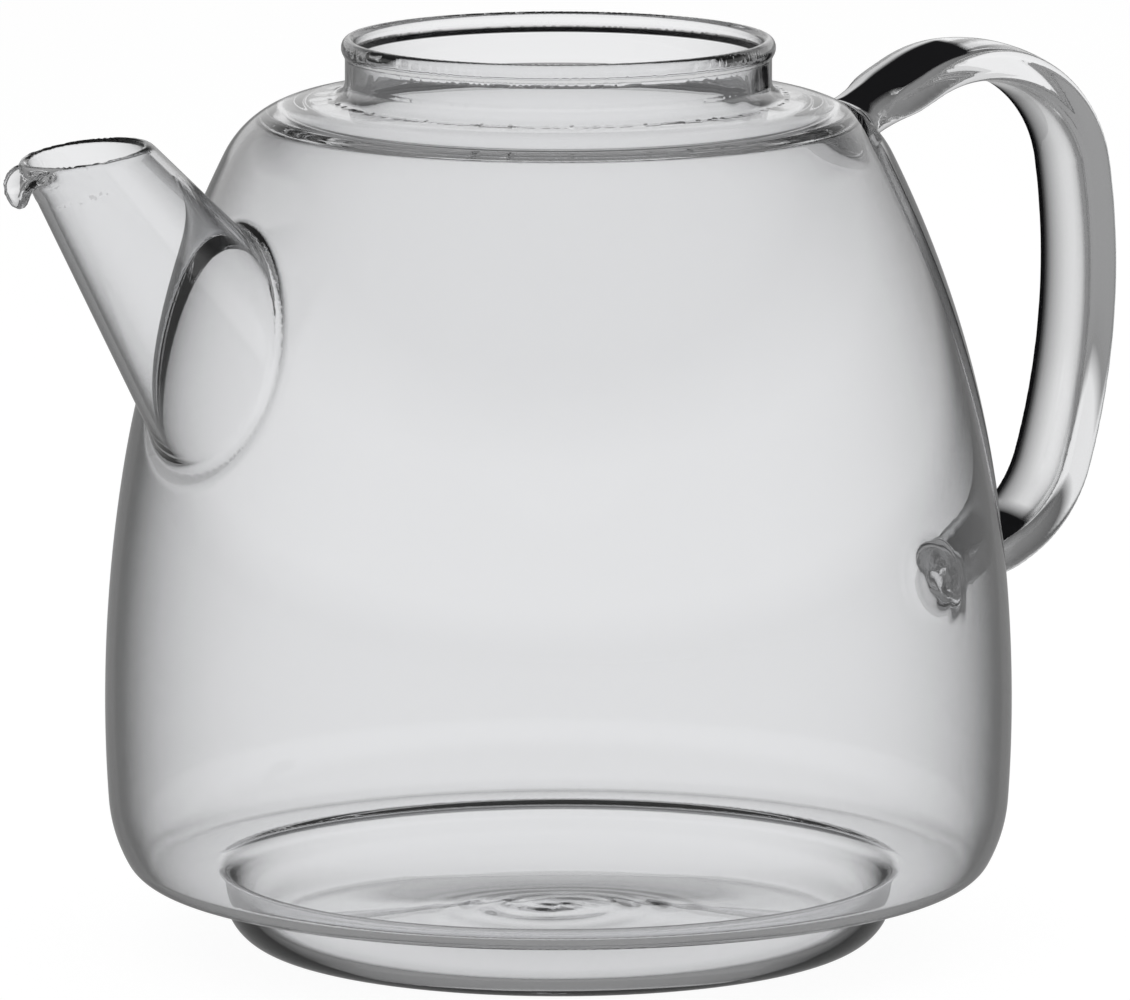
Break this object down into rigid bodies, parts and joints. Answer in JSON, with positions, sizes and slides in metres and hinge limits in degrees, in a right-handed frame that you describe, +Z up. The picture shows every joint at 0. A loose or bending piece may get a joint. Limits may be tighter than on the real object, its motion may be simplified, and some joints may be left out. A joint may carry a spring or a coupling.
{
  "type": "glass teapot",
  "caption": "Clear glass teapot body with a beaded open neck, a stepped foot, a tapered spout with a curled pouring lip and a flat strap handle.",
  "frame": {"origin": "centre of the foot, on the table plane and on the axis of the body and neck", "axes": "+Z up along the axis of the body and neck, +X towards the handle, -X towards the spout, XZ the plane of symmetry"},
  "size_m": [0.1775, 0.13, 0.1307],
  "materials": {
    "body_glass": "clear, thin mould-blown glass, fire polished",
    "spout_glass": "clear drawn glass tube, fire polished lip",
    "handle_glass": "clear solid glass rod, fire polished",
    "seal_glass": "clear glass re-melted round the roots, slightly rippled"
  },
  "bodies": {
    "root": {"body": "body_glass", "spout": "spout_glass", "handle": "handle_glass", "spout_seal": "seal_glass", "upper_handle_seal": "seal_glass", "lower_handle_seal": "seal_glass"}
  },
  "joints": []
}
